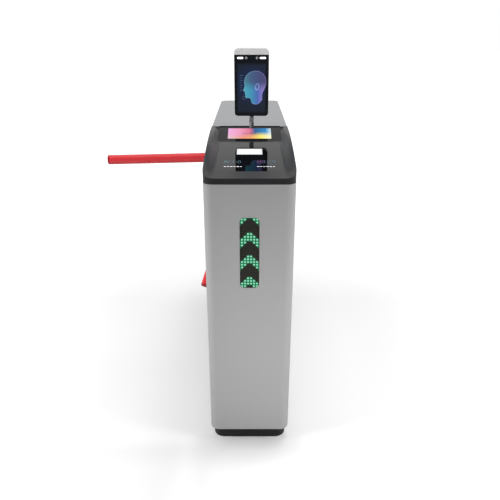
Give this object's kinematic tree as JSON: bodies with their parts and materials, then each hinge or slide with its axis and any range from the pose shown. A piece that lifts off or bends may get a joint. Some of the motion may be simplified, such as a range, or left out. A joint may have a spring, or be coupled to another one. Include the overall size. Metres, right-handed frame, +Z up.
{
  "type": "tripod turnstile",
  "caption": "Floor cabinet with a tilted hub of folding arms in a side niche, a reader console, a lamp display and a face terminal on a pole.",
  "frame": {"origin": "middle of the plinth's underside, on the floor", "axes": "+Z up; +X across the cabinet away from the arms; +Y along the cabinet away from the console"},
  "size_m": [0.7189, 1.2, 1.316],
  "materials": {
    "shell_steel": "satin brushed stainless steel",
    "cover_steel": "satin brushed stainless steel, lighter",
    "niche_steel": "satin brushed stainless steel",
    "inner_steel": "plain galvanised sheet",
    "machined_steel": "turned and plated steel",
    "plinth_black": "matt black powder coat",
    "console_dark": "dark grey satin paint",
    "console_glass": "polished dark glass, printed from behind",
    "scanner_glass": "frosted white lit window",
    "display_colour": "colour display",
    "smoked_window": "smoked window",
    "green_board": "printed board",
    "dark_plastic": "moulded black plastic",
    "red_arm": "glossy red paint",
    "cast_grey": "machined casting",
    "gear_brass": "cut gear",
    "coil_blue": "wound coil in a frame",
    "supply_case": "folded sheet case",
    "terminal_metal": "satin silver",
    "terminal_glass": "polished black glass",
    "screen": "lit screen",
    "light_white": "frosted lamp cover",
    "lens_dark": "coated lens"
  },
  "bodies": {
    "root": {"plinth": "plinth_black", "base_plate": "inner_steel", "front_shell": "shell_steel", "rear_shell": "shell_steel", "front_bulkhead": "niche_steel", "rear_bulkhead": "niche_steel", "hub_plate": "niche_steel", "niche_back_panel": "niche_steel", "niche_sill": "niche_steel", "lower_side_panel": "shell_steel", "door_header": "shell_steel", "door_sill": "shell_steel", "console_frame": "console_dark", "reader_glass": "console_glass", "display_glass": "console_glass", "display_panel": "display_colour", "scanner_window": "scanner_glass", "code_scanner": "dark_plastic", "card_reader": "green_board", "led_window": "smoked_window", "led_board": "green_board", "control_board": "green_board", "power_supply": "supply_case", "pole": "machined_steel", "door_hinge_1": "machined_steel", "door_hinge_2": "machined_steel", "cover_hinge_1": "machined_steel", "cover_hinge_2": "machined_steel", "mechanism_base": "cast_grey", "bearing_housing": "machined_steel", "front_bearing": "machined_steel", "rear_bearing": "machined_steel", "damper_body": "dark_plastic", "entry_solenoid": "coil_blue", "exit_solenoid": "coil_blue"},
    "hub": {"hub_disc": "machined_steel", "main_shaft": "machined_steel", "lock_wheel": "machined_steel", "drive_gear": "gear_brass", "arm_pin_1": "machined_steel", "arm_pin_2": "machined_steel", "arm_pin_3": "machined_steel"},
    "arm_one": {"arm_1": "red_arm"},
    "arm_two": {"arm_2": "red_arm"},
    "arm_three": {"arm_3": "red_arm"},
    "pinion": {"damper_pinion": "machined_steel"},
    "entry_bolt_body": {"entry_bolt": "machined_steel"},
    "exit_bolt_body": {"exit_bolt": "machined_steel"},
    "cover": {"top_cover": "cover_steel"},
    "cover_cam": {"cover_lock": "machined_steel"},
    "door": {"service_door": "shell_steel"},
    "door_cam": {"door_lock": "machined_steel"},
    "swivel": {"swivel_head": "machined_steel"},
    "terminal": {"terminal_housing": "terminal_metal", "terminal_glass": "terminal_glass", "terminal_screen": "screen", "fill_light_left": "light_white", "fill_light_right": "light_white", "camera_lens_left": "lens_dark", "camera_lens_right": "lens_dark"}
  },
  "joints": [
    {"name": "hub_spin", "type": "hinge", "parent": "root", "child": "hub", "pos_m": [-0.017, 0, 0.9037], "axis": [-0.7071, 0, -0.7071], "continuous": true},
    {"name": "arm_1_drop", "type": "hinge", "parent": "hub", "child": "arm_one", "pos_m": [-0.11697, 0, 0.90126], "axis": [0, -1, 0], "range_deg": [0, 88]},
    {"name": "arm_2_drop", "type": "hinge", "parent": "hub", "child": "arm_two", "pos_m": [-0.04383, 0.05972, 0.82811], "axis": [-0.6124, 0.5, 0.6124], "range_deg": [0, 43]},
    {"name": "arm_3_drop", "type": "hinge", "parent": "hub", "child": "arm_three", "pos_m": [-0.04383, -0.05972, 0.82811], "axis": [0.6124, 0.5, -0.6124], "range_deg": [0, 43]},
    {"name": "pinion_spin", "type": "hinge", "parent": "root", "child": "pinion", "pos_m": [0.02543, 0, 0.86127], "axis": [-0.7071, 0, -0.7071], "continuous": true},
    {"name": "entry_bolt_slide", "type": "slide", "parent": "root", "child": "entry_bolt_body", "axis": [0, 1, 0], "range_m": [0, 0.0048], "stiffness_N_per_m": 200},
    {"name": "exit_bolt_slide", "type": "slide", "parent": "root", "child": "exit_bolt_body", "axis": [0, -1, 0], "range_m": [0, 0.0048], "stiffness_N_per_m": 200},
    {"name": "cover_open", "type": "hinge", "parent": "root", "child": "cover", "pos_m": [0.1445, 0.25, 0.961], "axis": [0, 1, 0], "range_deg": [0, 80]},
    {"name": "cover_lock_turn", "type": "hinge", "parent": "cover", "child": "cover_cam", "pos_m": [-0.14, 0.335, 0.985], "axis": [1, 0, 0], "range_deg": [0, 90]},
    {"name": "door_open", "type": "hinge", "parent": "root", "child": "door", "pos_m": [0.1445, -0.359, 0.5], "axis": [0, 0, -1], "range_deg": [0, 100]},
    {"name": "door_lock_turn", "type": "hinge", "parent": "door", "child": "door_cam", "pos_m": [0.14, 0.335, 0.5], "axis": [1, 0, 0], "range_deg": [0, 90]},
    {"name": "terminal_swivel", "type": "hinge", "parent": "root", "child": "swivel", "pos_m": [0.007, -0.126, 1.062], "axis": [0, 0, 1], "range_deg": [-45, 45]},
    {"name": "terminal_tilt", "type": "hinge", "parent": "swivel", "child": "terminal", "pos_m": [0.007, -0.126, 1.0775], "axis": [1, 0, 0], "range_deg": [-15, 10]}
  ],
  "couplings": [
    {"joint": "pinion_spin", "follows": "hub_spin", "ratio": -3}
  ]
}
